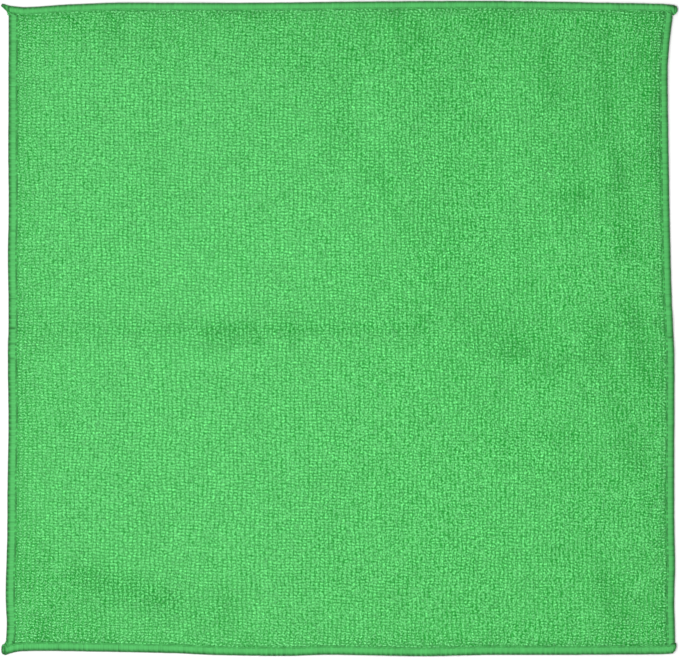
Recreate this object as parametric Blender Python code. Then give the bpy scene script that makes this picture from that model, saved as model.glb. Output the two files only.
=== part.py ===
# Terry microfibre cloth, 40 cm class, lying spread out on a level surface.
#
# One cut panel of looped cloth and the four runs of overlock edging sewn on round its rim. Each
# run is a sleeve of thread that wraps the crushed rim. The top and bottom runs were sewn last:
# they cross the ends of the side runs and finish in knots and a loose chain tail at the corners.
#
# Everything is first made flat and straight, in nominal places. The function "laid" then moves
# every point to where the cloth lies: onto its uneven outline and up over its folds.
#
# Frame: metres, +Z up, +X across the cloth, +Y towards its top edge, origin at the middle of the
# box's underside.

import math

import bmesh
import bpy
from mathutils import Vector

MM = 0.001

# Driving dimensions
CLOTH_WIDTH = 398.0 * MM
CLOTH_LENGTH = 391.5 * MM
CLOTH_THICKNESS = 2.8 * MM
EDGING_WIDTHS = {"top": 4.6 * MM, "right": 5.0 * MM, "bottom": 5.4 * MM, "left": 5.6 * MM}
EDGING_WALL = 0.6 * MM
EDGING_BACK = 1.2 * MM
SHOULDER_WIDTH = 2.6 * MM
SHOULDER_DROP = 0.5 * MM
GAP = 0.3 * MM

# Mesh spacing: close over the fold lines, wide where the cloth lies flat
WIDE_STEP = 10.0 * MM
CLOSE_STEP_ROWS = 4.4 * MM
CLOSE_STEP_COLUMNS = 5.5 * MM
CLOSE_ROWS = (-30.0 * MM, 22.0 * MM)
CLOSE_COLUMNS = (92.0 * MM, 196.0 * MM)
ROUND_STEPS = 6

# Worked out from them
HALF_WIDTH = CLOTH_WIDTH / 2
HALF_LENGTH = CLOTH_LENGTH / 2
SLOT_HEIGHT = CLOTH_THICKNESS - 2 * EDGING_WALL
RIM_THICKNESS = SLOT_HEIGHT - 2 * GAP
RIM_INSET = EDGING_BACK + GAP

# How far each edge lies outside its straight nominal line. Columns: mm along the edge from its
# middle, mm outwards.
LEFT_EDGE = (
    (-188, 1.0), (-184.5, 0.4), (-182, 0.1), (-163, 1.1), (-145, 0.8), (-127, 0.2), (-91, -0.1), (-55, -0.6),
    (-19, -0.2), (8, -0.7), (45, -0.2), (71, -0.7), (107, -0.5), (179, -0.7),
)
RIGHT_EDGE = (
    (-181, 2.3), (-163, 1.8), (-145, 2.3), (-109, 1.8), (-55, 1.9), (-19, 1.9),
    (17, 0.4), (53, -0.6), (89, -1.3), (143, -2.1), (161, -2.0), (181, -0.2),
    (184, 0.4), (187.5, 0.9),
)
TOP_EDGE = (
    (-198.5, -2.3), (-194, -2.7), (-189, -3.3), (-168, -1.8), (-150, -0.9), (-132, -0.4), (-96, -0.6), (-42, -0.4),
    (-6, 0.0), (30, 0.3), (85, 0.7), (120, 0.3), (156, -0.4), (192, -1.1),
    (199.5, -1.75),
)
BOTTOM_EDGE = (
    (-198.5, -0.3), (-196, -0.95), (-193, -1.8), (-189, -2.3), (-168, -2.3), (-132, -1.7), (-96, -0.9), (-78, 0.0), (-30, 0.7),
    (-6, -0.1), (48, 0.8), (84, 0.1), (120, 0.1), (156, -0.1), (192, -0.4),
    (199.5, -0.95),
)

# Furrows: fold lines where the cloth touches the surface, with a soft bank along each side.
# Columns: start x, start y, end x, end y, mm from the line to the top of a bank, bank height.
FURROWS = (
    (-215, -1, -30, 0, 9, 1.3),
    (-70, -1, 62, 5, 9, 1.4),
    (50, 4, 132, -11, 9, 1.2),
    (112, -10, 215, -4, 9, 1.1),
    (159, 178, 156, 60, 11, 1.1),
    (-160, -147, -52, -177, 11, 1.0),
    (-28, 142, 52, 42, 13, 0.7),
    (58, 24, 92, -66, 12, 0.6),
    (166, -128, 168, -184, 10, 0.8),
)

# Swells: soft lengths of cloth that stand clear of the surface. Columns as above, with the
# swell's half width and its height.
SWELLS = (
    (110, 168, 108, 4, 17, 1.2),
    (190, 190, 188, 70, 9, 0.9),
    (106, -78, 110, -176, 16, 1.1),
    (-92, 66, -78, 10, 24, 0.9),
    (-34, 58, -24, 34, 20, 0.7),
    (-150, 186, -60, 188, 16, 0.9),
    (-20, 190, 70, 192, 15, 0.8),
    (-190, -70, -188, -128, 15, 1.0),
    (-20, -190, 96, -189, 14, 0.8),
    (128, -52, 182, -84, 16, 0.9),
)
FADE = 26.0 * MM

# Ends of the top and bottom runs, station by station from the last of the cloth to the tip.
# Columns: mm past the side edge, mm that the outer side lies out of the run's own line, width, height.
RUN_ENDS = {
    ("top", "left"): (
        (-0.6, 0.0, 4.6, 2.8), (0.0, 0.1, 4.6, 2.8), (0.4, 0.2, 4.4, 2.5), (0.8, 0.5, 4.2, 2.2),
        (1.4, 0.6, 3.7, 2.0), (2.0, 0.7, 3.2, 1.9), (2.6, 1.0, 3.0, 1.8), (3.2, 1.3, 2.7, 1.8),
        (3.8, 1.3, 2.3, 1.7), (4.2, 1.0, 1.6, 1.4), (4.5, 0.5, 0.7, 0.8),
    ),
    ("top", "right"): (
        (-0.6, 0.0, 4.6, 2.8), (0.0, 0.0, 4.6, 2.8), (0.35, 0.0, 6.2, 2.9), (0.7, 0.0, 6.6, 3.0),
        (1.2, -0.1, 6.0, 3.0), (1.8, -0.4, 5.2, 3.0), (2.3, -0.7, 4.2, 2.7), (2.6, -1.1, 3.3, 2.2),
        (2.9, -1.8, 1.9, 1.4),
    ),
    ("bottom", "left"): (
        (-0.6, 0.3, 5.7, 2.8), (0.0, 0.4, 5.8, 2.8), (0.35, 0.5, 7.5, 3.0), (0.9, 0.5, 7.0, 3.2),
        (1.5, 0.3, 6.6, 3.2), (2.1, -0.2, 5.8, 2.9), (2.4, -0.6, 4.9, 2.4), (2.6, -1.3, 3.1, 1.6),
    ),
    ("bottom", "right"): (
        (-0.6, -0.6, 4.8, 2.8), (0.0, -1.3, 4.1, 2.8), (0.35, -2.0, 4.6, 2.8), (0.5, -2.5, 4.3, 2.7),
        (0.65, -3.1, 3.4, 2.4), (0.8, -3.8, 2.0, 1.6),
    ),
}

PILE_GREEN = (0.100, 0.540, 0.140, 1.0)
THREAD_GREEN = (0.080, 0.470, 0.120, 1.0)


def clear_scene():
    for old in list(bpy.data.objects):
        bpy.data.objects.remove(old, do_unlink=True)


def smooth(share):
    """0 to 1 with level ends."""
    share = min(max(share, 0.0), 1.0)
    return share * share * (3 - 2 * share)


def read_edge(table, along):
    """A smooth curve through the table's rows, level past its ends. Millimetres in and out."""
    places = [row[0] for row in table]
    if along <= places[0]:
        return table[0][1]
    if along >= places[-1]:
        return table[-1][1]
    i = max(k for k, place in enumerate(places) if place <= along)
    (x0, y0), (x1, y1) = table[i], table[i + 1]
    before = table[max(i - 1, 0)]
    after = table[min(i + 2, len(table) - 1)]
    span = x1 - x0
    slope0 = (y1 - before[1]) / (x1 - before[0]) * span
    slope1 = (after[1] - y0) / (after[0] - x0) * span
    t = (along - x0) / span
    return (
        y0 * (2 * t**3 - 3 * t**2 + 1)
        + slope0 * (t**3 - 2 * t**2 + t)
        + y1 * (3 * t**2 - 2 * t**3)
        + slope1 * (t**3 - t**2)
    )


def beside(x, y, row):
    """Distance from a row's line, and how far the row has faded in along it, from 0 to 1."""
    start = Vector((row[0], row[1])) * MM
    line = Vector((row[2], row[3])) * MM - start
    way = line.normalized()
    offset = Vector((x, y)) - start
    along = offset.dot(way)
    aside = abs(offset.x * way.y - offset.y * way.x)
    return aside, smooth(along / FADE) * smooth((line.length - along) / FADE)


def hump(distance):
    """A rounded top of height 1 that falls level to 0 at a distance of 1."""
    return max(0.0, 1 - distance * distance) ** 2


def relief(x, y):
    """Height of the cloth's underside above the surface it lies on. Where rows meet they blend."""
    heights = []
    for rows, top in ((FURROWS, 1), (SWELLS, 0)):
        for row in rows:
            aside, fade = beside(x, y, row)
            heights.append(row[5] * MM * fade * hump(aside / (row[4] * MM) - top))
    return math.hypot(*heights)


def laid(point):
    """Where a point of the flat, straight cloth lies."""
    x, y, z = point
    right = min(max((x + HALF_WIDTH) / CLOTH_WIDTH, 0.0), 1.0)
    top = min(max((y + HALF_LENGTH) / CLOTH_LENGTH, 0.0), 1.0)
    x += right * read_edge(RIGHT_EDGE, point[1] / MM) * MM
    x -= (1 - right) * read_edge(LEFT_EDGE, point[1] / MM) * MM
    y += top * read_edge(TOP_EDGE, point[0] / MM) * MM
    y -= (1 - top) * read_edge(BOTTOM_EDGE, point[0] / MM) * MM
    return Vector((x, y, z + relief(x, y)))


def spaced(low, high, close_from, close_to, close_step):
    """Places from low to high: close_step apart between the close limits, else WIDE_STEP."""
    knots = [low]
    for end, step in (
        (max(close_from, low), WIDE_STEP),
        (min(close_to, high), close_step),
        (high, WIDE_STEP),
    ):
        start = knots[-1]
        count = round((end - start) / step) if end > start else 0
        knots += [start + (end - start) * (k + 1) / count for k in range(count)]
    return knots


def pile_places(half, low_run, high_run, close, close_step):
    """Grid places across the pile, between two opposite runs, with one at each shoulder's top."""
    low = EDGING_WIDTHS[low_run] + GAP - half
    high = half - EDGING_WIDTHS[high_run] - GAP
    inner = spaced(low + SHOULDER_WIDTH, high - SHOULDER_WIDTH, *close, close_step)
    return [low, *inner, high]


def column_places():
    return pile_places(HALF_WIDTH, "left", "right", CLOSE_COLUMNS, CLOSE_STEP_COLUMNS)


def row_places():
    return pile_places(HALF_LENGTH, "bottom", "top", CLOSE_ROWS, CLOSE_STEP_ROWS)


def material(name, colour, roughness):
    made = bpy.data.materials.new(name)
    made.use_nodes = True
    shader = made.node_tree.nodes["Principled BSDF"]
    shader.inputs["Base Color"].default_value = colour
    shader.inputs["Roughness"].default_value = roughness
    shader.inputs["Metallic"].default_value = 0.0
    return made


def finished(bm, name, finish):
    """Lays the flat shape down and makes it an object."""
    for vert in bm.verts:
        vert.co = laid(vert.co)
    bmesh.ops.recalc_face_normals(bm, faces=bm.faces[:])
    mesh = bpy.data.meshes.new(name)
    bm.to_mesh(mesh)
    bm.free()
    mesh.materials.append(finish)
    mesh.shade_smooth()
    mesh.set_sharp_from_angle(angle=math.radians(50))
    made = bpy.data.objects.new(name, mesh)
    bpy.context.scene.collection.objects.link(made)
    return made


def gridded_slab(columns, rows, thickness):
    """A slab of the given thickness on Z = 0, cut along the given columns and rows."""
    bm = bmesh.new()
    across, along = len(columns) - 1, len(rows) - 1
    bmesh.ops.create_grid(bm, x_segments=across, y_segments=along, size=0.5)
    for vert in bm.verts:
        column = columns[round((vert.co.x + 0.5) * across)]
        row = rows[round((vert.co.y + 0.5) * along)]
        vert.co = (column, row, 0.0)
    raised = bmesh.ops.extrude_face_region(bm, geom=bm.faces[:])["geom"]
    verts = [part for part in raised if isinstance(part, bmesh.types.BMVert)]
    bmesh.ops.translate(bm, verts=verts, vec=(0, 0, thickness))
    return bm


def cloth_panel(finish):
    """The looped panel: full thickness inside the edging, and a crushed rim that the edging wraps."""
    columns, rows = column_places(), row_places()
    left, right, bottom, top = columns[0], columns[-1], rows[0], rows[-1]
    bm = gridded_slab(columns, rows, CLOTH_THICKNESS)
    rim_low = (CLOTH_THICKNESS - RIM_THICKNESS) / 2
    rim_high = rim_low + RIM_THICKNESS
    for level in (rim_low, rim_high):
        everything = bm.verts[:] + bm.edges[:] + bm.faces[:]
        bmesh.ops.bisect_plane(
            bm, geom=everything, dist=0.01 * MM, plane_co=(0, 0, level), plane_no=(0, 0, 1)
        )
    strip = [
        face for face in bm.faces if rim_low < face.calc_center_median().z < rim_high
    ]
    drawn = bmesh.ops.extrude_face_region(bm, geom=strip)["geom"]
    bmesh.ops.delete(bm, geom=strip, context="FACES_ONLY")
    for vert in bm.verts:
        at_rim = near(vert.co.x, left) or near(vert.co.x, right)
        at_rim = at_rim or near(vert.co.y, bottom) or near(vert.co.y, top)
        if at_rim and near(vert.co.z, CLOTH_THICKNESS):
            vert.co.z -= SHOULDER_DROP
    for vert in (part for part in drawn if isinstance(part, bmesh.types.BMVert)):
        if near(vert.co.x, left) or near(vert.co.x, right):
            vert.co.x = math.copysign(HALF_WIDTH - RIM_INSET, vert.co.x)
        if near(vert.co.y, bottom) or near(vert.co.y, top):
            vert.co.y = math.copysign(HALF_LENGTH - RIM_INSET, vert.co.y)
    return finished(bm, "cloth", finish)


def near(value, place):
    return math.isclose(value, place, abs_tol=0.01 * MM)


def sleeve_section(width, height, slot_depth):
    """Points (outwards, up) round a run's section: round outside, slotted inside, centre at 0, 0."""
    slot = min(SLOT_HEIGHT, 0.57 * height) / 2
    radius = height / 2
    inner = -width / 2
    points = [(inner, radius)]
    for step in range(ROUND_STEPS + 1):
        turn = math.pi / 2 - math.pi * step / ROUND_STEPS
        bulge = min(radius, width / 2)
        points.append((width / 2 - bulge + bulge * math.cos(turn), radius * math.sin(turn)))
    points += [(inner, -radius), (inner, -slot)]
    points += [(inner + slot_depth, -slot), (inner + slot_depth, slot), (inner, slot)]
    return points


def plain_stations(run, places):
    """Stations of a run that keeps one section: place, outward shift, width, height, slot depth."""
    width = EDGING_WIDTHS[run]
    return [(at, 0.0, width, CLOTH_THICKNESS, width - EDGING_BACK) for at in places]


def end_stations(run, end):
    """Stations of the knot or tail, past the side edge. The sleeve is closed there."""
    way = 1 if end == "right" else -1
    stations = []
    for past, outwards, width, height in RUN_ENDS[run, end]:
        shift = outwards * MM + (EDGING_WIDTHS[run] - width * MM) / 2
        slot_depth = min(GAP, 0.2 * width * MM)
        stations.append(
            (way * (HALF_WIDTH + past * MM), shift, width * MM, height * MM, slot_depth)
        )
    return stations


def edging_run(name, stations, place, finish):
    """A sleeve through its stations. place turns (along, outwards, up) into a flat position."""
    bm = bmesh.new()
    rings = []
    for at, shift, width, height, slot_depth in stations:
        middle = max(height / 2, CLOTH_THICKNESS / 2)
        section = sleeve_section(width, height, slot_depth)
        rings.append([bm.verts.new(place(at, shift + out, middle + up)) for out, up in section])
    for ring, after in zip(rings, rings[1:]):
        for i in range(len(ring)):
            j = (i + 1) % len(ring)
            bm.faces.new((ring[i], ring[j], after[j], after[i]))
    bm.faces.new(rings[0])
    bm.faces.new(rings[-1])
    return finished(bm, name, finish)


def side_edging(run, way, finish):
    """Left or right run. It stops short of the top and bottom runs."""
    line = HALF_WIDTH - EDGING_WIDTHS[run] / 2

    def place(at, out, up):
        return (way * (line + out), at, up)

    return edging_run("edging_" + run, plain_stations(run, row_places()), place, finish)


def end_edging(run, way, finish):
    """Top or bottom run, across the whole width and past it at both corners."""
    line = HALF_LENGTH - EDGING_WIDTHS[run] / 2
    stop = HALF_WIDTH - EDGING_BACK
    stations = plain_stations(run, [-stop, *column_places(), stop])
    stations = end_stations(run, "left")[::-1] + stations + end_stations(run, "right")

    def place(at, out, up):
        return (at, way * (line + out), up)

    return edging_run("edging_" + run, stations, place, finish)


def stand_on_origin(parts):
    """Moves all meshes together so that the origin is the middle of the box's underside."""
    corners = [vert.co for part in parts for vert in part.data.vertices]
    low = Vector(min(corner[axis] for corner in corners) for axis in range(3))
    high = Vector(max(corner[axis] for corner in corners) for axis in range(3))
    shift = Vector(((low.x + high.x) / 2, (low.y + high.y) / 2, low.z))
    for part in parts:
        for vert in part.data.vertices:
            vert.co -= shift


def main():
    clear_scene()
    pile = material("Terry pile", PILE_GREEN, 0.95)
    thread = material("Edging thread", THREAD_GREEN, 0.7)
    parts = [
        cloth_panel(pile),
        end_edging("top", 1, thread),
        side_edging("right", 1, thread),
        end_edging("bottom", -1, thread),
        side_edging("left", -1, thread),
    ]
    stand_on_origin(parts)


main()
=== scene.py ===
import math

import bmesh
import bpy
import numpy as np
from mathutils import Matrix, Vector
from mathutils.bvhtree import BVHTree


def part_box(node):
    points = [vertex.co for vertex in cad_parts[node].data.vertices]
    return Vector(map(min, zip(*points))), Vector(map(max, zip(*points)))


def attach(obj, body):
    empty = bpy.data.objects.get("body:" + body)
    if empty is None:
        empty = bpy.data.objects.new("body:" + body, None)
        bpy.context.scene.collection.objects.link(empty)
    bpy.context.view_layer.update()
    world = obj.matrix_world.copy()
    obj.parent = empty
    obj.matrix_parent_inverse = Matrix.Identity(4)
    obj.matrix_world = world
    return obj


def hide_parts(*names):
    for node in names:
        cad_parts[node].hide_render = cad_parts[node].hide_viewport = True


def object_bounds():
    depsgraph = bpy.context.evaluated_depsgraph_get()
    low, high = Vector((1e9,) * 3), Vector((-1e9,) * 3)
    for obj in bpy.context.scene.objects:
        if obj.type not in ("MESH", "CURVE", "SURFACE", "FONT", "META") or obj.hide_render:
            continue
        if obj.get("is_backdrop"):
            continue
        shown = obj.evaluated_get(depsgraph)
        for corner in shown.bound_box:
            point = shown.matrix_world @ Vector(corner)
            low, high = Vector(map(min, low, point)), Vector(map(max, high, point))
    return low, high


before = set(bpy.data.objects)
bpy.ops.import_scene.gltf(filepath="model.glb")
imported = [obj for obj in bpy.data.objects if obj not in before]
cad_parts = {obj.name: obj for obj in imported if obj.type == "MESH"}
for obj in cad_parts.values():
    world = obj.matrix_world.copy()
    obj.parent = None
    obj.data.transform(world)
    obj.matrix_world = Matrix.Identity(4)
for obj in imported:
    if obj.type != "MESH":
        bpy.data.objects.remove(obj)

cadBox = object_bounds()
scene = bpy.context.scene
mm = 0.001

# The photo's frame, for the camera, and how big a pixel of it is on the cloth
photo = {"wide": 679, "high": 658, "pixel": 0.6 * mm, "clothMiddle": (339.35, 328.5)}

# The gentle random waves in the knit: how many run together, how far their sizes differ from the
# one asked for, and what their sum is divided by
waves = {"count": 9, "low": 0.55, "high": 1.3, "level": 2.6}


def smooth(share):
    share = np.clip(share, 0.0, 1.0)
    return share * share * (3 - 2 * share)


def drift(x, y, size, seed):
    # a random wave over the cloth: about -1 to 1, with bumps of the given size in mm
    draw = np.random.default_rng(seed)
    total = np.zeros_like(x)
    for turn in draw.uniform(0, math.tau, waves["count"]):
        step = math.tau / size * draw.uniform(waves["low"], waves["high"])
        total += np.sin(step * (x * math.cos(turn) + y * math.sin(turn)) + draw.uniform(0, math.tau))
    return total / waves["level"]


def drifts(rows, x, y):
    # several of them added up. Each row has its strength, the size of its bumps and a seed
    return sum(strength * drift(x, y, size, seed) for strength, size, seed in rows)


# Reading the solids

def treeOf(node):
    bm = bmesh.new()
    bm.from_mesh(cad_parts[node].data)
    tree = BVHTree.FromBMesh(bm)
    bm.free()
    return tree


def heightOn(tree, x, y, fromAbove):
    # z of the solid's upper or lower side over a place, or None beside it
    start = 50 * mm if fromAbove else -50 * mm
    hit = tree.ray_cast(Vector((x, y, start)), Vector((0, 0, -1 if fromAbove else 1)))[0]
    return None if hit is None else hit.z


# axis and way are the side of the cloth that a run is on, pitch is from stitch to stitch, and tail
# is how long its end with painted shade is. stitch is how much darker the needle's stitches are, and
# hole and beside are the painted shade of its holes and of the thread next to them: under 0 is
# darker.
runs = {
    "top": {
        "node": "edging_top", "axis": 0, "way": 1, "pitch": 3.04 * mm, "tail": 4.8 * mm,
        "stitch": 0, "hole": -0.30, "beside": -0.04,
    },
    "right": {
        "node": "edging_right", "axis": 1, "way": 1, "pitch": 3.13 * mm, "tail": 0,
        "stitch": -0.28, "hole": -0.57, "beside": 0.02,
    },
    "bottom": {
        "node": "edging_bottom", "axis": 0, "way": -1, "pitch": 2.98 * mm, "tail": 1.5 * mm,
        "stitch": 0, "hole": -0.30, "beside": -0.04,
    },
    "left": {
        "node": "edging_left", "axis": 1, "way": -1, "pitch": 3.34 * mm, "tail": 0,
        "stitch": -0.22, "hole": -0.57, "beside": 0.02,
    },
}
runReading = {
    "step": 3 * mm,          # from station to station along the run
    "endStep": 0.35 * mm,    # and near its ends
    "endLength": 7 * mm,
    "endInset": 0.05 * mm,
    "scan": 0.12 * mm,       # from place to place across it
    "scanInset": 0.02 * mm,
}


def readRun(run):
    # the run's section, station by station: inner and outer side, low and high
    tree = treeOf(run["node"])
    axis, way = run["axis"], run["way"]
    low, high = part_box(run["node"])
    first, last = low[axis] + runReading["endInset"], high[axis] - runReading["endInset"]
    endLength = runReading["endLength"]
    ends = np.arange(0, endLength, runReading["endStep"])
    middle = np.arange(first + endLength, last - endLength, runReading["step"])
    stations = np.concatenate([first + ends, middle, (last - ends)[::-1]])
    across = sorted((way * low[1 - axis], way * high[1 - axis]))
    scan = np.arange(across[0] + runReading["scanInset"], across[1], runReading["scan"])
    rows = []
    for along in stations:
        hits = []
        for out in scan:
            place = (along, way * out) if axis == 0 else (way * out, along)
            top = heightOn(tree, *place, True)
            if top is not None:
                hits.append((out, top, heightOn(tree, *place, False)))
        if hits:
            hits = np.array(hits)
            rows.append((along, hits[0, 0], hits[-1, 0], hits[:, 2].min(), hits[:, 1].max()))
    table = np.array(rows)
    run.update(zip(("along", "inner", "outer", "low", "high"), table.T))


def sectionAt(run, along):
    return [np.interp(along, run["along"], run[key]) for key in ("inner", "outer", "low", "high")]


for run in runs.values():
    readRun(run)
print("read the four runs of edging")

# The pile's field lies between the inner sides of the four runs. u and v go from 0 to 1 over it.
field = {
    "across": 388.0 * mm,
    "along": 381.0 * mm,
    "gap": 0.1 * mm,         # between the field and the edging
    "over": 1.2 * mm,        # how far past it a loop's middle may stand, half under the edging
    "lines": 131,            # the folds are read at so many places each way
    "inset": 0.006,          # from here in, as a share of the field
    "soften": 2,             # how often the reading is evened out
}


def fieldPlace(u, v):
    x = (u - 0.5) * field["across"]
    y = (v - 0.5) * field["along"]
    left = -sectionAt(runs["left"], y)[0] + field["gap"]
    right = sectionAt(runs["right"], y)[0] - field["gap"]
    bottom = -sectionAt(runs["bottom"], x)[0] + field["gap"]
    top = sectionAt(runs["top"], x)[0] - field["gap"]
    return left + (right - left) * u, bottom + (top - bottom) * v


def readLift():
    # how far the cloth's underside stands off the surface, over the field
    tree = treeOf("cloth")
    shares = np.linspace(field["inset"], 1 - field["inset"], field["lines"])
    u, v = np.meshgrid(shares, shares)
    x, y = fieldPlace(u, v)
    lift = np.array([heightOn(tree, a, b, False) or 0.0 for a, b in zip(x.ravel(), y.ravel())])
    lift = lift.reshape(x.shape)
    for _ in range(field["soften"]):
        wide = np.pad(lift, 1, mode="edge")
        lift = (2 * lift + wide[2:, 1:-1] + wide[:-2, 1:-1] + wide[1:-1, 2:] + wide[1:-1, :-2]) / 6
    field.update(shares=shares, lift=lift)


def liftAt(u, v):
    count = field["lines"] - 1
    first, last = field["shares"][0], field["shares"][-1]
    column = np.clip((u - first) / (last - first) * count, 0, count - 1e-6)
    row = np.clip((v - first) / (last - first) * count, 0, count - 1e-6)
    i, j = column.astype(int), row.astype(int)
    a, b = column - i, row - j
    grid = field["lift"]
    near = grid[j, i] * (1 - a) + grid[j, i + 1] * a
    far = grid[j + 1, i] * (1 - a) + grid[j + 1, i + 1] * a
    return near * (1 - b) + far * b


readLift()
print("read the folds")

# Where the pile lies pressed, ruffled or brushed up: soft streaks from one place to another in mm,
# with their half width, and the painted shade (under 0) or painted light (over 0) of the pile there
creases = [
    # x1, y1, x2, y2, wide, shade
    (-192, -2, 54, 1, 4, -0.09),        # painted shade along the line of the old fold
    (-78, -3, -56, -2, 6, -0.14),
    (-30, 0, -26, 0, 5, -0.11),
    (49, 5, 53, 5, 5, -0.11),
    (84, 4, 126, -20, 13, -0.10),
    (100, -14, 106, -14, 5, -0.17),
    (155, 2, 155, -18, 6, -0.20),
    (172, 12, 184, -26, 7, -0.20),
    (159, 176, 160, 116, 6, -0.18),
    (183, 184, 187, 98, 8, -0.12),
    (166, 104, 171, 47, 6, -0.17),
    (125, 160, 130, 134, 6, -0.17),
    (129, 108, 131, 106, 5, -0.10),
    (134, 79, 146, 79, 6, -0.17),
    (130, -65, 138, -66, 6, -0.10),
    (166, -43, 178, -84, 7, -0.13),
    (160, -150, 169, -176, 7, -0.15),
    (-136, 186, -134, 180, 5, -0.14),
    (-160, 186, -158, 182, 4, -0.11),
    (-71, 190, -35, 190, 4, -0.11),
    (-22, 160, -20, 155, 5, -0.13),
    (34, 186, 48, 174, 7, -0.11),
    (80, 186, 100, 184, 8, -0.10),
    (-153, -148, -108, -163, 8, -0.13),
    (-108, -163, -66, -169, 9, -0.07),
    (-178, -178, -176, -186, 5, -0.17),
    (-176, -150, -150, -176, 22, -0.06),
    (-165, -58, -163, -58, 4, -0.08),
    (-14, -128, -10, -128, 5, -0.07),
    (-21, 146, 24, 89, 5, -0.05),       # painted shade along a faint bias line, down to the right
    (24, 89, 63, 17, 5, -0.06),
    (63, -13, 99, -67, 4, -0.06),
    (60, 150, 66, 40, 22, -0.04),
    (-100, 48, -74, 20, 17, 0.05),
    (-36, 50, -24, 44, 14, 0.05),
    (24, 60, 40, 40, 7, 0.07),
    (124, 46, 130, 34, 10, 0.08),
    (105, 140, 108, 68, 9, 0.06),
    (112, -95, 112, -160, 10, 0.08),
    (46, -94, 54, -94, 7, 0.06),
    (15, 145, 20, 112, 7, 0.06),
    (-124, 180, -124, 136, 4, 0.06),
    (-68, 172, -66, 168, 5, 0.06),
    (-160, 166, -156, 160, 7, 0.06),
    (-186, 190, 190, 190, 24, -0.05),   # painted shade down along the top, right and left sides
    (190, 188, 193, -188, 13, -0.04),
    (-192, 188, -192, -188, 10, -0.03),
    (-150, 170, 150, 176, 14, -0.03),
    (-190, -190, 190, -192, 12, -0.03),
    (-145, 150, -145, 60, 5, 0.03),     # streaks of painted light and shade down from the top
    (-113, 182, -113, 70, 4, -0.03),
    (-85, 176, -85, 120, 5, 0.03),
    (14, 182, -6, 100, 6, -0.05),
    (142, 150, 143, 60, 6, -0.05),
    (150, 60, 152, 20, 8, 0.05),
]
nap = {
    "edgePaintedShade": -0.03,      # beside the edging the pile is pressed down, with painted shade there
    "edgeWide": 3.6 * mm,
    "edgeLow": 0.35,         # and lower by this share of its height
    "openFrom": 0.25,        # it comes to stand more open from here to there across the cloth
    "openTo": 0.85,
    "openMost": 1.4,
    "openPerShade": 4.5,     # and it is more open in the creases
    "share": 0.45,           # how much of a crease's painted shade is all over; the rest is painted in its gaps
    "mottle": ((0.012, 22, 5), (0.010, 9, 6)),   # small uneven patches all over
}


def creaseAt(x, y):
    total = np.zeros_like(x)
    for x1, y1, x2, y2, wide, shade in creases:
        dx, dy = x2 - x1, y2 - y1
        share = np.clip(((x / mm - x1) * dx + (y / mm - y1) * dy) / (dx * dx + dy * dy), 0, 1)
        away = np.hypot(x / mm - x1 - share * dx, y / mm - y1 - share * dy)
        total += shade * np.exp(-(away / wide) ** 2)
    return total


def pressedAt(u, v):
    rim = np.minimum(np.minimum(u, 1 - u) * field["across"], np.minimum(v, 1 - v) * field["along"])
    return 1 - smooth(rim / nap["edgeWide"])


def napAt(u, v):
    # the pile's painted shade and light all over, with random mottle, how open it stands, from 0 for
    # dense to about 1, and how much painted shade goes down between the loops
    x, y = fieldPlace(u, v)
    crease = creaseAt(x, y)
    edge = pressedAt(u, v)
    mottle = drifts(nap["mottle"], x / mm, y / mm)
    opened = smooth((u - nap["openFrom"]) / (nap["openTo"] - nap["openFrom"]))
    opened = np.clip(opened - nap["openPerShade"] * (crease + mottle), 0, nap["openMost"])
    shade = crease * nap["share"] + nap["edgePaintedShade"] * edge + mottle
    return shade, opened * (1 - edge), np.clip(-crease, 0, 1)


# Shader maths

class Value:
    # wraps a socket, so that shader maths reads as plain arithmetic
    def __init__(self, tree, socket):
        self.tree, self.socket = tree, socket

    def maths(self, operation, *others):
        node = self.tree.nodes.new("ShaderNodeMath")
        node.operation = operation
        for i, value in enumerate((self, *others)):
            link(self.tree, node.inputs[i], value)
        return Value(self.tree, node.outputs[0])

    def __add__(self, other):
        return self.maths("ADD", other)

    def __sub__(self, other):
        return self.maths("SUBTRACT", other)

    def __mul__(self, other):
        return self.maths("MULTIPLY", other)

    def __pow__(self, other):
        return self.maths("POWER", other)

    def __rsub__(self, other):
        return (self * -1) + other

    __radd__ = __add__
    __rmul__ = __mul__


def link(tree, socket, value):
    if isinstance(value, Value):
        tree.links.new(value.socket, socket)
    else:
        socket.default_value = value


class Finish:
    # one material. node() adds a node by its type, with its settings first and then its sockets
    def __init__(self, name, constants):
        self.made = bpy.data.materials.new(name)
        self.made.use_nodes = True
        self.tree = self.made.node_tree
        self.shader = self.tree.nodes["Principled BSDF"]
        for key, value in constants.items():
            self.shader.inputs[key].default_value = value

    def node(self, kind, settings, sockets, output=0):
        node = self.tree.nodes.new("ShaderNode" + kind)
        for key, value in settings.items():
            setattr(node, key, value)
        for key, value in sockets.items():
            link(self.tree, node.inputs[key], value)
        return Value(self.tree, node.outputs[output])

    def attribute(self, name):
        return self.node("Attribute", {"attribute_name": name}, {}, 2)

    def mixed(self, share, first, second):
        return self.node("Mix", {"data_type": "RGBA"}, {0: share, 6: first, 7: second}, 2)

    def scaled(self, colour, amount):
        return self.node("VectorMath", {"operation": "SCALE"}, {0: colour, "Scale": amount})

    def noise(self, size):
        place = self.node("TexCoord", {}, {}, 3)
        return self.node("TexNoise", {}, {"Vector": place, "Scale": 1 / size, "Detail": 2.0})

    def feed(self, name, value):
        link(self.tree, self.shader.inputs[name], value)

    def bump(self, height, strength, distance):
        sockets = {"Height": height, "Strength": strength, "Distance": distance}
        self.feed("Normal", self.node("Bump", {}, sockets))


# Meshes. A shape is a set of arrays: points, triangles, the corners' places on the bake's map, and
# one number a point for each mark that the finishes read.
# tip is how lit a point is painted, from root to crown; shade is painted shade and light with random
# mottle; tone is random from copy to copy
markNames = ("tip", "tone", "shade", "ply", "open")

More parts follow.
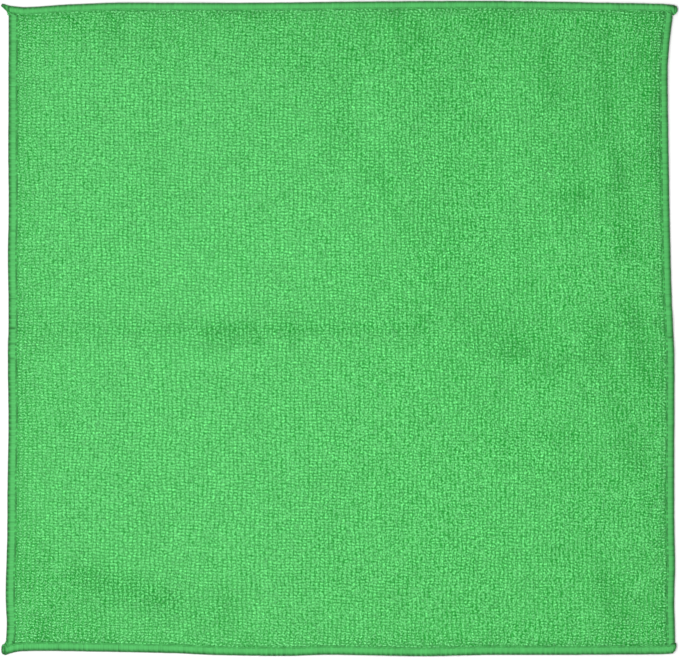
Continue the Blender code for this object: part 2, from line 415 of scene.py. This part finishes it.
# Where a strand's side and its two closed ends lie in its own cell of the map
cellPlan = {
    "inset": 0.03, "long": 0.94, "high": 0.8,
    "end": 0.05, "endLow": 0.93, "endsAt": (0.1, 0.6),
}


def unitOf(bm, cornerOf, tipOf, plyOf=lambda point: 0.0):
    # takes a small bmesh apart into arrays. ply is how far the yarn's twist has turned there
    bmesh.ops.recalc_face_normals(bm, faces=bm.faces[:])
    bmesh.ops.triangulate(bm, faces=bm.faces[:])
    bm.verts.index_update()
    unit = {
        "points": np.array([vert.co[:] for vert in bm.verts]),
        "faces": np.array([[vert.index for vert in face.verts] for face in bm.faces]),
        "corners": np.array([[cornerOf(face, vert) for vert in face.verts] for face in bm.faces]),
        "tip": np.array([tipOf(vert.co) for vert in bm.verts]),
        "ply": np.array([plyOf(vert.co) for vert in bm.verts]),
    }
    bm.free()
    return unit


def copiesOf(unit, placed, marks, room=(0, 0, 1, 1)):
    # placed is (copies, points, 3). Each copy has its own cell of the map's room
    copies, count = placed.shape[:2]
    side = math.ceil(math.sqrt(copies))
    number = np.arange(copies)
    cell = np.stack([number % side, number // side], 1)[:, None, None]
    corners = (cell + unit["corners"][None]) / side
    left, low, right, high = room
    shape = {
        "points": placed.reshape(-1, 3),
        "faces": (unit["faces"][None] + (number * count)[:, None, None]).reshape(-1, 3),
        "corners": corners.reshape(-1, 2) * (right - left, high - low) + (left, low),
    }
    for name in markNames:
        values = np.zeros((copies, count)) + marks.get(name, 0.0) + unit.get(name, 0.0)
        shape[name] = values.ravel()
    return shape


def joined(shapes):
    keys = ("points", "corners", *markNames)
    whole = {key: np.concatenate([shape[key] for shape in shapes]) for key in keys}
    starts = np.cumsum([0] + [len(shape["points"]) for shape in shapes[:-1]])
    faces = [shape["faces"] + start for shape, start in zip(shapes, starts)]
    whole["faces"] = np.concatenate(faces)
    return whole


def addPiece(title, shape, finish, node=None):
    points, faces = shape["points"], shape["faces"]
    mesh = bpy.data.meshes.new(title)
    mesh.vertices.add(len(points))
    mesh.vertices.foreach_set("co", points.astype(np.float32).ravel())
    mesh.loops.add(faces.size)
    mesh.loops.foreach_set("vertex_index", faces.astype(np.int32).ravel())
    mesh.polygons.add(len(faces))
    mesh.polygons.foreach_set("loop_start", np.arange(0, faces.size, 3, dtype=np.int32))
    mesh.update(calc_edges=True)
    layer = mesh.uv_layers.new(name="OFBake")
    layer.uv.foreach_set("vector", shape["corners"].astype(np.float32).ravel())
    for name in markNames:
        mark = mesh.attributes.new(name, "FLOAT", "POINT")
        mark.data.foreach_set("value", shape[name].astype(np.float32))
    mesh.shade_smooth()
    mesh.materials.append(finish)
    piece = bpy.data.objects.new(title, mesh)
    scene.collection.objects.link(piece)
    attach(piece, "root")
    if node:
        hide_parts(node)
    return piece


def sideCorner(share, turn):
    # share is how far along the strand a corner is, turn how far round it
    along = cellPlan["inset"] + cellPlan["long"] * share
    return along, cellPlan["inset"] + cellPlan["high"] * min(max(turn, 0), 1)


def endCorner(face, vert, isFirst):
    # a closed end lies on a small corner of the cell, above the side of the strand
    middle = face.calc_center_median()
    offset = vert.co - middle
    reach = max((other.co - middle).length for other in face.verts)
    left = cellPlan["endsAt"][0 if isFirst else 1]
    up = max(offset.x, offset.z, key=abs) / reach
    return left + cellPlan["end"] * (1 + offset.y / reach), cellPlan["endLow"] + cellPlan["end"] * up


def nearestTurn(turn, middle):
    # the same turn, counted so that it is less than half a turn from the middle
    return middle + (turn - middle + 0.5) % 1 - 0.5


def onMap(share, room, margin):
    # a share of the way over some room on the map, with a margin at both ends
    return margin + (room - 2 * margin) * share


def slab(columns, rows, cornerOf, tip):
    # a thin sheet with two sides and a rim, taken apart, and its points' three shares of the way
    bm = bmesh.new()
    bmesh.ops.create_grid(bm, x_segments=columns, y_segments=rows, size=0.5)
    raised = bmesh.ops.extrude_face_region(bm, geom=bm.faces[:])["geom"]
    verts = [part for part in raised if isinstance(part, bmesh.types.BMVert)]
    bmesh.ops.translate(bm, verts=verts, vec=(0, 0, 1))
    unit = unitOf(bm, cornerOf, lambda point: tip)
    return unit, unit["points"].T + np.array([[0.5], [0.5], [0.0]])


# The pile

pileColours = {
    "root": (0.012, 0.278, 0.028, 1.0),
    "tip": (0.235, 0.830, 0.305, 1.0),
    "base": 0.15,            # how far from the root's colour to the tip's the unlit yarn is
    "tipShare": 0.9,         # and how much further the yarn that is fully lit
    "pivot": 0.45,           # open pile has more contrast of painted light and shade on both sides of this
    "openSpread": 0.30,
    "openUneven": 0.5,
    "openGain": 0.075,
    "toneSpread": 0.07,      # from loop to loop
    "kink": 0.50 * mm,       # the size of the bends in the yarn, and how much they show
    "kinkSpread": 2.8,
    "plyGrooveShade": 0.5,           # how dark the painted shade in the lines between the yarn's plies is
    "grooveSharp": 3,
    "fibre": 0.16 * mm,
    "fibreShade": 0.12,
    "fibreBump": 0.35,
    "fibreDepth": 0.05 * mm,
}
yarnLoop = {
    "wale": 2.616 * mm,      # from column to column
    "course": 1.842 * mm,    # from row to row
    "slant": -0.056,         # the rows fall this much to the right
    "reach": 0.88 * mm,      # from the loop's middle to the middle of a leg
    "rise": 1.25 * mm,       # from its feet to its crown
    "deep": 0.50 * mm,       # the yarn's half size outwards
    "broad": 0.76 * mm,      # and across the loop, at its crown
    "taper": 0.5,            # how much narrower it is at its feet
    "arch": 0.65,            # under 1 for a flatter crown
    "sides": 3,
    "steps": 4,
    "twist": 4.5,            # how fast the plies wind as the loop goes over
    "plySlant": 1.6,         # and across the yarn
    "foot": 0.25,            # how lit the feet are, with the crown at 1
    "shine": 0.5,            # under 1 the light reaches further down
    "sink": 0.30 * mm,       # how far the feet stand in the ground
    "startOut": 0.3 * mm,    # how far outside the field the first column stands
    "strips": 5,             # the pile is made in so many pieces
}
loopSpread = {
    "yaw": 22, "lean": 8, "roll": 10,              # degrees
    "turn": 0.9, "shift": 0.07 * mm,               # how much more open pile is turned and moved
    "size": 0.08, "sizeLimits": (0.7, 1.3),
    "height": 0.10, "heightLimits": (0.5, 1.35),
    "curve": 0.22 * mm, "curveMiddle": 0.4,
    "wiggle": 0.18 * mm,
    "x": 0.16 * mm, "y": 0.13 * mm,
    "xWaves": ((0.55, 60, 1), (0.22, 14, 2)),      # in mm: the knit's columns and rows wander
    "yWaves": ((0.50, 55, 3), (0.20, 13, 4)),
    "lowPaintedShade": 0.08, "sink": 1.8,                      # open and creased pile gets painted shade low down
    "placeSeed": 11, "seed": 23,
}


def pileFinish():
    finish = Finish("Looped microfibre", {
        "Roughness": 0.92, "Sheen Weight": 0.02, "Sheen Roughness": 0.5,
        "Sheen Tint": (0.3, 1.0, 0.35, 1.0), "Specular IOR Level": 0.06,
    })
    tip, tone, shade, ply, opened = (finish.attribute(name) for name in markNames)
    fibre = finish.noise(pileColours["fibre"])
    kink = finish.noise(pileColours["kink"])
    plyGrooveShade = (ply.maths("SINE") * 0.5 + 0.5) ** pileColours["grooveSharp"]
    uneven = (kink - 0.5) * pileColours["kinkSpread"] - plyGrooveShade * pileColours["plyGrooveShade"]
    uneven = uneven * (1 + opened * pileColours["openUneven"])
    lit = tip * pileColours["tipShare"] + (pileColours["base"] - pileColours["pivot"]) + uneven
    lit = lit * (1 + opened * pileColours["openSpread"]) + pileColours["pivot"]
    colour = finish.mixed(lit, pileColours["root"], pileColours["tip"])
    gain = tone * pileColours["toneSpread"] + opened * pileColours["openGain"]
    gain = gain + shade + (fibre - 0.5) * pileColours["fibreShade"] + 1
    finish.feed("Base Color", finish.scaled(colour, gain))
    finish.bump(fibre, pileColours["fibreBump"], pileColours["fibreDepth"])
    return finish.made


def oneLoop():
    # an arch of yarn: a small ring turned half a circle over from one foot to the other
    bm = bmesh.new()
    reach = yarnLoop["reach"]
    top = reach + yarnLoop["deep"]
    ring = bmesh.ops.create_circle(bm, segments=yarnLoop["sides"], radius=1.0)["verts"]
    bmesh.ops.rotate(bm, verts=ring, cent=(0, 0, 0), matrix=Matrix.Rotation(math.pi / 2, 3, "Z"))
    bmesh.ops.scale(bm, verts=ring, vec=(yarnLoop["deep"], yarnLoop["broad"], 1))
    bmesh.ops.translate(bm, verts=ring, vec=(-reach, 0, 0))
    bmesh.ops.spin(
        bm, geom=bm.verts[:] + bm.edges[:], cent=(0, 0, 0), axis=(0, 1, 0), angle=math.pi,
        steps=yarnLoop["steps"],
    )
    bmesh.ops.holes_fill(bm, edges=bm.edges[:], sides=yarnLoop["sides"])

    def turnOf(point):
        radial = math.hypot(point.x, point.z) - reach
        return math.atan2(point.y, radial) / math.tau % 1

    def sweepOf(point):
        return math.atan2(max(point.z, 0), -point.x)

    def cornerOf(face, vert):
        if all(abs(other.co.z) < 0.01 * mm for other in face.verts):
            return endCorner(face, vert, vert.co.x < 0)
        turn = nearestTurn(turnOf(vert.co), turnOf(face.calc_center_median()))
        return sideCorner(sweepOf(vert.co) / math.pi, turn)

    def tipOf(point):
        rise = min(max(point.z / top, 0), 1) ** yarnLoop["shine"]
        return yarnLoop["foot"] + (1 - yarnLoop["foot"]) * rise

    def plyOf(point):
        # the yarn is of two plies: lines of painted shade between them cross the loop aslant
        across = point.y / yarnLoop["broad"]
        return yarnLoop["twist"] * sweepOf(point) + yarnLoop["plySlant"] * across

    unit = unitOf(bm, cornerOf, tipOf, plyOf)
    x, y, z = unit["points"].T
    z = yarnLoop["rise"] * np.clip(z / top, 0, 1) ** yarnLoop["arch"]
    y = y * (1 - yarnLoop["taper"] * (x / top) ** 2)
    unit["points"] = np.stack([x, y, z], 1)
    return unit


def loopPlaces():
    # columns and rows of loops over the field, with the knit's own unevenness
    halfAcross, halfAlong = field["across"] / 2, field["along"] / 2
    columns = np.arange(-halfAcross - yarnLoop["startOut"], halfAcross, yarnLoop["wale"])
    spare = abs(yarnLoop["slant"]) * halfAcross + 3 * mm
    rows = np.arange(-halfAlong - spare, halfAlong + spare, yarnLoop["course"])
    x, y = (grid.ravel() for grid in np.meshgrid(columns, rows))
    y = y + yarnLoop["slant"] * x
    draw = np.random.default_rng(loopSpread["placeSeed"])
    px, py = x / mm, y / mm
    x = x + drifts(loopSpread["xWaves"], px, py) * mm
    y = y + drifts(loopSpread["yWaves"], px, py) * mm
    x = x + draw.normal(0, loopSpread["x"], x.shape)
    y = y + draw.normal(0, loopSpread["y"], y.shape)
    u, v = x / field["across"] + 0.5, y / field["along"] + 0.5
    over = field["over"] / field["across"]
    inside = (np.abs(u - 0.5) < 0.5 + over) & (np.abs(v - 0.5) < 0.5 + over)
    return u[inside], v[inside]


def turned(points, yaw, lean, roll):
    # points (copies, points, 3), leaned over along Y, rolled along X and then turned about Z
    x, y, z = np.moveaxis(points, 2, 0)
    c, s = np.cos(lean)[:, None], np.sin(lean)[:, None]
    y, z = y * c - z * s, y * s + z * c
    c, s = np.cos(roll)[:, None], np.sin(roll)[:, None]
    x, z = x * c + z * s, z * c - x * s
    c, s = np.cos(yaw)[:, None], np.sin(yaw)[:, None]
    return np.stack([x * c - y * s, x * s + y * c, z], 2)


def addLoops(finish):
    unit = oneLoop()
    u, v = loopPlaces()
    count = len(u)
    spread = loopSpread
    draw = np.random.default_rng(spread["seed"])
    x, y = fieldPlace(u, v)

    def drawn(amount, middle=0.0):
        return draw.normal(middle, amount, count)[:, None]

    shade, opened, creaseGapShade = napAt(u, v)
    lowPaintedShade = spread["lowPaintedShade"] * opened + spread["sink"] * creaseGapShade
    points = np.repeat(unit["points"][None], count, 0)
    share = points[:, :, 0] / (yarnLoop["reach"] + yarnLoop["deep"])
    points[:, :, 1] += drawn(spread["curve"]) * (share ** 2 - spread["curveMiddle"])
    points[:, :, 1] += drawn(spread["wiggle"]) * np.sin(math.pi * share)
    points[:, :, 2] *= np.clip(drawn(spread["height"], 1.0), *spread["heightLimits"])
    points[:, :, 2] *= 1 - nap["edgeLow"] * pressedAt(u, v)[:, None]
    points *= np.clip(drawn(spread["size"], 1.0), *spread["sizeLimits"])[:, :, None]
    yaw, lean, roll = (np.radians(drawn(spread[key])[:, 0]) for key in ("yaw", "lean", "roll"))
    points = turned(points, yaw * (1 + spread["turn"] * opened), lean, roll)
    x = x + drawn(spread["shift"])[:, 0] * opened
    y = y + drawn(spread["shift"])[:, 0] * opened
    base = liftAt(u, v) + ground["high"] - yarnLoop["sink"]
    points += np.stack([x, y, base], 1)[:, None]
    marks = {
        "tone": drawn(1), "shade": shade[:, None], "open": opened[:, None],
        "ply": draw.uniform(0, math.tau, count)[:, None],
        "tip": -lowPaintedShade[:, None] * (1 - unit["tip"]),
    }
    pieces = []
    strips = np.array_split(np.argsort(u, kind="stable"), yarnLoop["strips"])
    for number, strip in enumerate(strips, 1):
        shape = copiesOf(unit, points[strip], {name: mark[strip] for name, mark in marks.items()})
        pieces.append(addPiece(f"pileLoops{number}", shape, finish))
    print("set", count, "loops of", len(unit["faces"]), "triangles")
    return pieces


# The ground knit that the loops stand on
ground = {
    "columns": 60,
    "rows": 58,
    "high": 1.75 * mm,       # its top face above its underside
    "rimThick": 1.0 * mm,    # the crushed rim inside the edging
    "rimReach": 3.0 * mm,
    "rimMiddle": 1.4 * mm,
    "tip": 0.22,             # how lit it is
    "lowPaintedShade": 0.08,             # and how much painted shade it gets where the pile is open or creased
    "sink": 0.8,
}


def addGround(finish):
    def cornerOf(face, vert):
        left = 0 if face.calc_center_median().z > 0.5 else 0.5
        return left + onMap(vert.co.x + 0.5, 0.5, 0.01), onMap(vert.co.y + 0.5, 1, 0.01)

    unit, (u, v, level) = slab(ground["columns"], ground["rows"], cornerOf, ground["tip"])
    x, y = fieldPlace(u, v)
    z = liftAt(u, v) + level * ground["high"]
    side = (u > 0.999).astype(float) - (u < 0.001)
    end = (v > 0.999).astype(float) - (v < 0.001)
    rim = (side != 0) | (end != 0)
    rimHeight = liftAt(u, v) + ground["rimMiddle"] + (level - 0.5) * ground["rimThick"]
    x = x + side * ground["rimReach"]
    y = y + end * ground["rimReach"]
    placed = np.stack([x, y, np.where(rim, rimHeight, z)], 1)
    shade, opened, creaseGapShade = napAt(np.clip(u, 0, 1), np.clip(v, 0, 1))
    lowPaintedShade = ground["lowPaintedShade"] * opened + ground["sink"] * creaseGapShade
    marks = {"shade": shade[None], "open": opened[None], "tip": -lowPaintedShade[None]}
    return addPiece("groundKnit", copiesOf(unit, placed[None], marks), finish, "cloth")


# The overlock edging

threadColours = {
    "deep": (0.018, 0.250, 0.032, 1.0),
    "lit": (0.082, 0.450, 0.117, 1.0),
    "toneSpread": 0.04,
    "sideTip": 0.86,         # how lit a strand is low on its sides, with its top at 1
    # how lit the core under the turns is painted
    "coreTip": 0.75,
    "filament": 0.12 * mm,
    "filamentShade": 0.1,
    "filamentBump": 0.3,
    "filamentDepth": 0.04 * mm,
}
# Widths round the rim are shares of the way from the needle line on top to the one underneath. A
# room is a part of the map: left, low, right and high.
edging = {
    "wraps": 2,              # turns of thread to a stitch
    "broad": 1.35,           # half a strand's width, as a share of the way to the next
    "proud": 0.07 * mm,      # a strand's half height
    "seat": 0.35,            # how much of that it is pressed into the others
    "sides": 4,
    "steps": 8,
    "room": (0, 0.3, 1, 1),
    "lean": 0.04,            # how far a turn of thread leans on its way to the rim, in pitches
    "placeSpread": 0.03,
    "sizeSpread": 0.07,
    "heightSpread": 0.008 * mm,
    "dipWide": 0.08,         # the threads are drawn down at the needle line
    "dip": 0.35 * mm,
    "wall": 0.55 * mm,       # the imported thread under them
    "coreSteps": 8,
    "coreStations": 100,
    "coreRoom": (0, 0, 1, 0.1),
    "over": 1.4 * mm,        # the side runs' threads reach in under the top and bottom runs
    "rimPaintedShade": -0.54,       # painted shade along the rim, where it curves down away from the light
    "rimFrom": 0.28,         # from this far to each side of the middle of the rim
    "rimWide": 0.19,
    "rimDash": 0.35,         # the rim's painted shade is more beside the stitches and less between them
    "holeWide": 0.10,        # how far out the painted shade of the needle's holes reaches
    "endShade": -0.55,       # painted shade on the tips of the top and bottom runs too
    "endWide": 1.8 * mm,
    "tailShade": -0.45,      # and painted shade on both faces of their dark ends
    "tailFade": 1 * mm,
    "tailFrom": 0.25,
    "tailWide": 0.125,
    "darkest": -0.72,        # where painted shades come together they go no further
    "firstSeed": 31,
}
needle = {
    "long": 0.40,            # half a stitch, in pitches
    "broad": 0.0375,         # half its width
    "in": 0.045,             # where its middle lies
    "proud": 0.22 * mm,
    "lift": 0.12 * mm,
    "dip": 0.5 * mm,         # both ends go down into the cloth
    "placeSpread": 0.06,
    "sides": 3,
    "steps": 3,
    "room": (0, 0.1, 1, 0.3),
}


def threadFinish():
    finish = Finish("Overlock thread", {
        "Roughness": 0.7, "Sheen Weight": 0.03, "Sheen Roughness": 0.4,
        "Sheen Tint": (0.4, 1.0, 0.45, 1.0), "Specular IOR Level": 0.12,
    })
    tip, tone, shade = (finish.attribute(name) for name in markNames[:3])
    filament = finish.noise(threadColours["filament"])
    colour = finish.mixed(tip, threadColours["deep"], threadColours["lit"])
    gain = tone * threadColours["toneSpread"] + shade
    gain = gain + (filament - 0.5) * threadColours["filamentShade"] + 1
    finish.feed("Base Color", finish.scaled(colour, gain))
    finish.bump(filament, threadColours["filamentBump"], threadColours["filamentDepth"])
    return finish.made


def wrapped(run, along, around, height):
    # lays thread work round the rim. around goes from 0 at the needle line on the top face, over
    # the rim, to 1 at the needle line underneath
    inner, outer, low, high = sectionAt(run, along)
    half, middle = (high - low) / 2, (high + low) / 2
    bend = np.minimum(half, (outer - inner) / 2)
    flat = outer - inner - bend
    length = 2 * flat + math.pi * bend
    way = around * length
    turn = np.clip((way - flat) / bend, 0, math.pi)
    curved = (way > flat) & (way < flat + math.pi * bend)
    straight = np.where(way <= flat, inner + way, inner + length - way)
    out = np.where(curved, inner + flat + np.sin(turn) * (bend + height), straight)
    up = np.maximum(middle + np.cos(turn) * (half + height), 0.0)
    out = out * run["way"]
    x, y = (along, out) if run["axis"] == 0 else (out, along)
    return np.stack([x, y, up], -1)


def paintedThreadShade(run, along, around):
    # the painted shade on the thread: how much darker it is made where shade falls, at the rim, by
    # the needle's holes and at the runs' ends
    rim = smooth((edging["rimFrom"] - np.abs(around - 0.5)) / edging["rimWide"])
    beat = np.cos(math.tau * along / run["pitch"])
    fromNeedle = np.minimum(around, 1 - around)
    side = smooth(1 - fromNeedle / edging["holeWide"])
    shade = edging["rimPaintedShade"] * rim * (1 + edging["rimDash"] * beat)
    shade = shade + (run["beside"] + run["hole"] * beat) * side
    if run["axis"] == 0:
        fromFirst, fromLast = along - run["along"][0], run["along"][-1] - along
        tip = smooth(1 - np.minimum(fromFirst, fromLast) / edging["endWide"])
        tail = smooth((run["tail"] - fromFirst) / edging["tailFade"])
        tail = tail * smooth((edging["tailFrom"] - fromNeedle) / edging["tailWide"])
        shade = shade + edging["endShade"] * tip + edging["tailShade"] * tail
    return np.maximum(shade, edging["darkest"])


def bar(sides, steps):
    # a closed bar along Y from 0 to 1, its half width and half height 1
    bm = bmesh.new()
    bmesh.ops.create_cone(bm, cap_ends=True, segments=sides, radius1=1, radius2=1, depth=1)
    layDown = Matrix.Rotation(-math.pi / 2, 3, "X")
    bmesh.ops.rotate(bm, verts=bm.verts[:], cent=(0, 0, 0), matrix=layDown)
    bmesh.ops.translate(bm, verts=bm.verts[:], vec=(0, 0.5, 0))
    long = [edge for edge in bm.edges if abs(edge.verts[0].co.y - edge.verts[1].co.y) > 0.5]
    bmesh.ops.subdivide_edges(bm, edges=long, cuts=steps - 1, use_grid_fill=True)

    def turnOf(point):
        return math.atan2(point.x, point.z) / math.tau % 1

    def cornerOf(face, vert):
        if abs(face.normal.y) > 0.9:
            return endCorner(face, vert, vert.co.y < 0.5)
        turn = nearestTurn(turnOf(vert.co), turnOf(face.calc_center_median()))
        return sideCorner(vert.co.y, turn)

    def tipOf(point):
        return threadColours["sideTip"] + (1 - threadColours["sideTip"]) * max(point.z, 0)

    return unitOf(bm, cornerOf, tipOf)


def wraps(run, first, last, draw):
    # the turns of thread, each from the needle line on top to the one underneath
    unit = bar(edging["sides"], edging["steps"])
    step = run["pitch"] / edging["wraps"]
    count = int((last - first) / step)
    at = first + (np.arange(count) + 0.5) * (last - first) / count
    at = (at + draw.normal(0, edging["placeSpread"], count) * step)[:, None]
    x, around, z = unit["points"].T
    side = np.where(np.arange(count) % 2, 1, -1)[:, None]
    lean = edging["lean"] * run["pitch"] * side * (1 - np.abs(2 * around - 1))
    size = draw.normal(1, edging["sizeSpread"], count)[:, None]
    along = np.clip(at + lean + x * step * edging["broad"] * size, first, last)
    fromNeedle = np.minimum(around, 1 - around)
    dip = np.clip(1 - fromNeedle / edging["dipWide"], 0, 1) * edging["dip"]
    height = (z * size - edging["seat"]) * edging["proud"] - dip
    height = height + draw.normal(0, edging["heightSpread"], count)[:, None]
    placed = wrapped(run, along, np.broadcast_to(around, along.shape), height)
    marks = {"tone": draw.normal(0, 1, count)[:, None], "shade": paintedThreadShade(run, along, around)}
    return copiesOf(unit, placed, marks, edging["room"])


def needleLine(run, first, last, draw):
    # the needle's stitches on top and underneath, pressed into the cloth at both ends
    unit = bar(needle["sides"], needle["steps"])
    count = int((last - first) / run["pitch"])
    at = first + (np.arange(count) + 0.5) * (last - first) / count
    at = at + draw.normal(0, needle["placeSpread"], count) * run["pitch"]
    at = np.tile(at, 2)[:, None]
    over = np.repeat([0.0, 1.0], count)[:, None]
    x, share, z = unit["points"].T
    along = np.clip(at + (share - 0.5) * 2 * needle["long"] * run["pitch"], first, last)
    around = np.abs(over - needle["in"] - x * needle["broad"])
    height = z * needle["proud"] + needle["lift"] - needle["dip"] * (2 * share - 1) ** 4
    placed = wrapped(run, along, around, np.broadcast_to(height, along.shape))
    marks = {"tone": draw.normal(0, 1, 2 * count)[:, None], "shade": run["stitch"]}
    return copiesOf(unit, placed, marks, needle["room"])


def core(run, first, last):
    # the sleeve of packed thread under the turns: a bent strip with a wall
    def cornerOf(face, vert):
        low = 0 if face.calc_center_median().z > 0.5 else 0.5
        return onMap(vert.co.x + 0.5, 1, 0.01), low + onMap(vert.co.y + 0.5, 0.5, 0.02)

    unit, (share, around, level) = slab(
        edging["coreStations"], edging["coreSteps"], cornerOf, threadColours["coreTip"]
    )
    along = first + share * (last - first)
    placed = wrapped(run, along, around, (level - 1) * edging["wall"] - edging["proud"])
    marks = {"shade": paintedThreadShade(run, along, around)[None]}
    return copiesOf(unit, placed[None], marks, edging["coreRoom"])


def addEdging(side, finish, seed):
    run = runs[side]
    draw = np.random.default_rng(seed)
    over = edging["over"] * run["axis"]
    first, last = run["along"][0] - over, run["along"][-1] + over
    shapes = [
        wraps(run, first, last, draw),
        needleLine(run, first, last, draw),
        core(run, first, last),
    ]
    title = "edging" + side.capitalize()
    return addPiece(title, joined(shapes), finish, run["node"])


pileStuff = pileFinish()
threadStuff = threadFinish()
loops = addLoops(pileStuff)
sheet = addGround(pileStuff)
seeded = enumerate(runs, edging["firstSeed"])
edgings = [addEdging(side, threadStuff, seed) for seed, side in seeded]
print("sewed the edging:", [len(piece.data.polygons) for piece in edgings], "triangles")

# Floor, light and camera

studio = {
    "floor": (0.82, 0.82, 0.82, 1.0),
    "floorGlow": 0.1,
    "floorSize": 6.0,
    "floorDrop": 0.2 * mm,
    "ambient": 0.35,
    "boxPlace": (-0.12, -0.04, 0.95),
    "boxSize": 0.6,
    "boxPower": 10.0,
    "lens": 200.0,
    "film": 36.0,
    "farthest": 20.0,
}


def addFloor():
    bm = bmesh.new()
    bmesh.ops.create_grid(bm, x_segments=1, y_segments=1, size=studio["floorSize"] / 2)
    bmesh.ops.translate(bm, verts=bm.verts[:], vec=(0, 0, -studio["floorDrop"]))
    mesh = bpy.data.meshes.new("floor")
    bm.to_mesh(mesh)
    bm.free()
    finish = Finish("Pale floor", {
        "Base Color": studio["floor"], "Roughness": 0.9,
        "Emission Color": (1, 1, 1, 1), "Emission Strength": studio["floorGlow"],
    })
    mesh.materials.append(finish.made)
    floor = bpy.data.objects.new("floor", mesh)
    scene.collection.objects.link(floor)
    floor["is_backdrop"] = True


def addLight():
    world = bpy.data.worlds.new("studio")
    scene.world = world
    world.use_nodes = True
    sky = world.node_tree.nodes["Background"]
    sky.inputs["Color"].default_value = (1, 1, 1, 1)
    sky.inputs["Strength"].default_value = studio["ambient"]
    lamp = bpy.data.lights.new("softbox", "AREA")
    lamp.size = studio["boxSize"]
    lamp.energy = studio["boxPower"]
    softbox = bpy.data.objects.new("softbox", lamp)
    softbox.location = studio["boxPlace"]
    softbox.rotation_euler = Vector(studio["boxPlace"]).to_track_quat("Z", "Y").to_euler()
    scene.collection.objects.link(softbox)


def addCamera():
    lens = bpy.data.cameras.new("camera")
    lens.sensor_width = studio["film"]
    lens.lens = studio["lens"]
    lens.clip_end = studio["farthest"]
    camera = bpy.data.objects.new("camera", lens)
    column, row = photo["clothMiddle"]
    camera.location = (
        (photo["wide"] / 2 - column) * photo["pixel"],
        (row - photo["high"] / 2) * photo["pixel"],
        photo["wide"] * photo["pixel"] * studio["lens"] / studio["film"],
    )
    scene.collection.objects.link(camera)
    scene.camera = camera


addFloor()
addLight()
addCamera()
scene.view_settings.view_transform = "Standard"
print("set the floor, light and camera")

boxes = {"cad": cadBox, "visual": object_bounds()}
{key: [list(corner) for corner in box] for key, box in boxes.items()}
